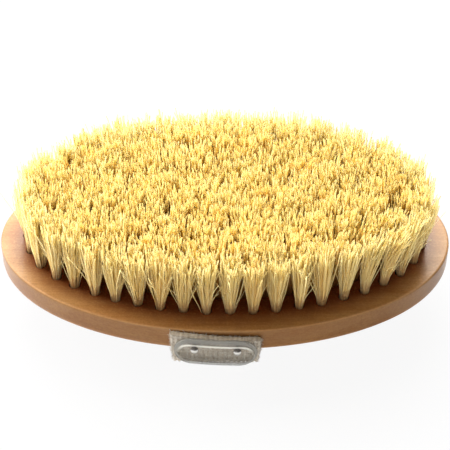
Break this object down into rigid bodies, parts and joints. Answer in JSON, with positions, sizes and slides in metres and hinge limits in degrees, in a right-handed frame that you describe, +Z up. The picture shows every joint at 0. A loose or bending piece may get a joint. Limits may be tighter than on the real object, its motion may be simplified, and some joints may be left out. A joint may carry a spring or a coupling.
{
  "type": "body brush",
  "caption": "Oval wooden body brush with rows of stiff upright bristle tufts and a canvas hand strap nailed to its sides under clear plates.",
  "frame": {"origin": "on the floor under the middle of the body, at the lowest point of the hand strap", "axes": "+X along the body's length, +Z up, the way the bristles point, -Y towards the long side that faces the camera"},
  "size_m": [0.14, 0.0894, 0.0474],
  "materials": {
    "wood": "satin lacquer over fine reddish-brown grain",
    "bristle": "stiff amber plant or hog fibre, paler on its outer sides",
    "webbing": "coarse beige cotton canvas webbing with raw edges",
    "plate_plastic": "clear to bluish grey moulded plastic",
    "nail_steel": "small domed bright steel heads"
  },
  "bodies": {
    "brush": {"wooden_body": "wood", "bristle_row_1_front": "bristle", "bristle_row_1_rear": "bristle", "bristle_row_2_front": "bristle", "bristle_row_2_rear": "bristle", "bristle_row_3_front": "bristle", "bristle_row_3_rear": "bristle", "bristle_row_4_front": "bristle", "bristle_row_4_rear": "bristle", "bristle_row_5_front": "bristle", "bristle_row_5_rear": "bristle", "bristle_row_middle": "bristle", "strap_front_end": "webbing", "strap_rear_end": "webbing", "strap_plate_front": "plate_plastic", "strap_plate_rear": "plate_plastic", "nail_front_left": "nail_steel", "nail_front_right": "nail_steel", "nail_rear_left": "nail_steel", "nail_rear_right": "nail_steel"},
    "strap": {"strap_band": "webbing"}
  },
  "joints": [
    {"name": "strap_bow", "type": "slide", "parent": "brush", "child": "strap", "axis": [0, 0, -1], "range_m": [0, 0.012]}
  ]
}
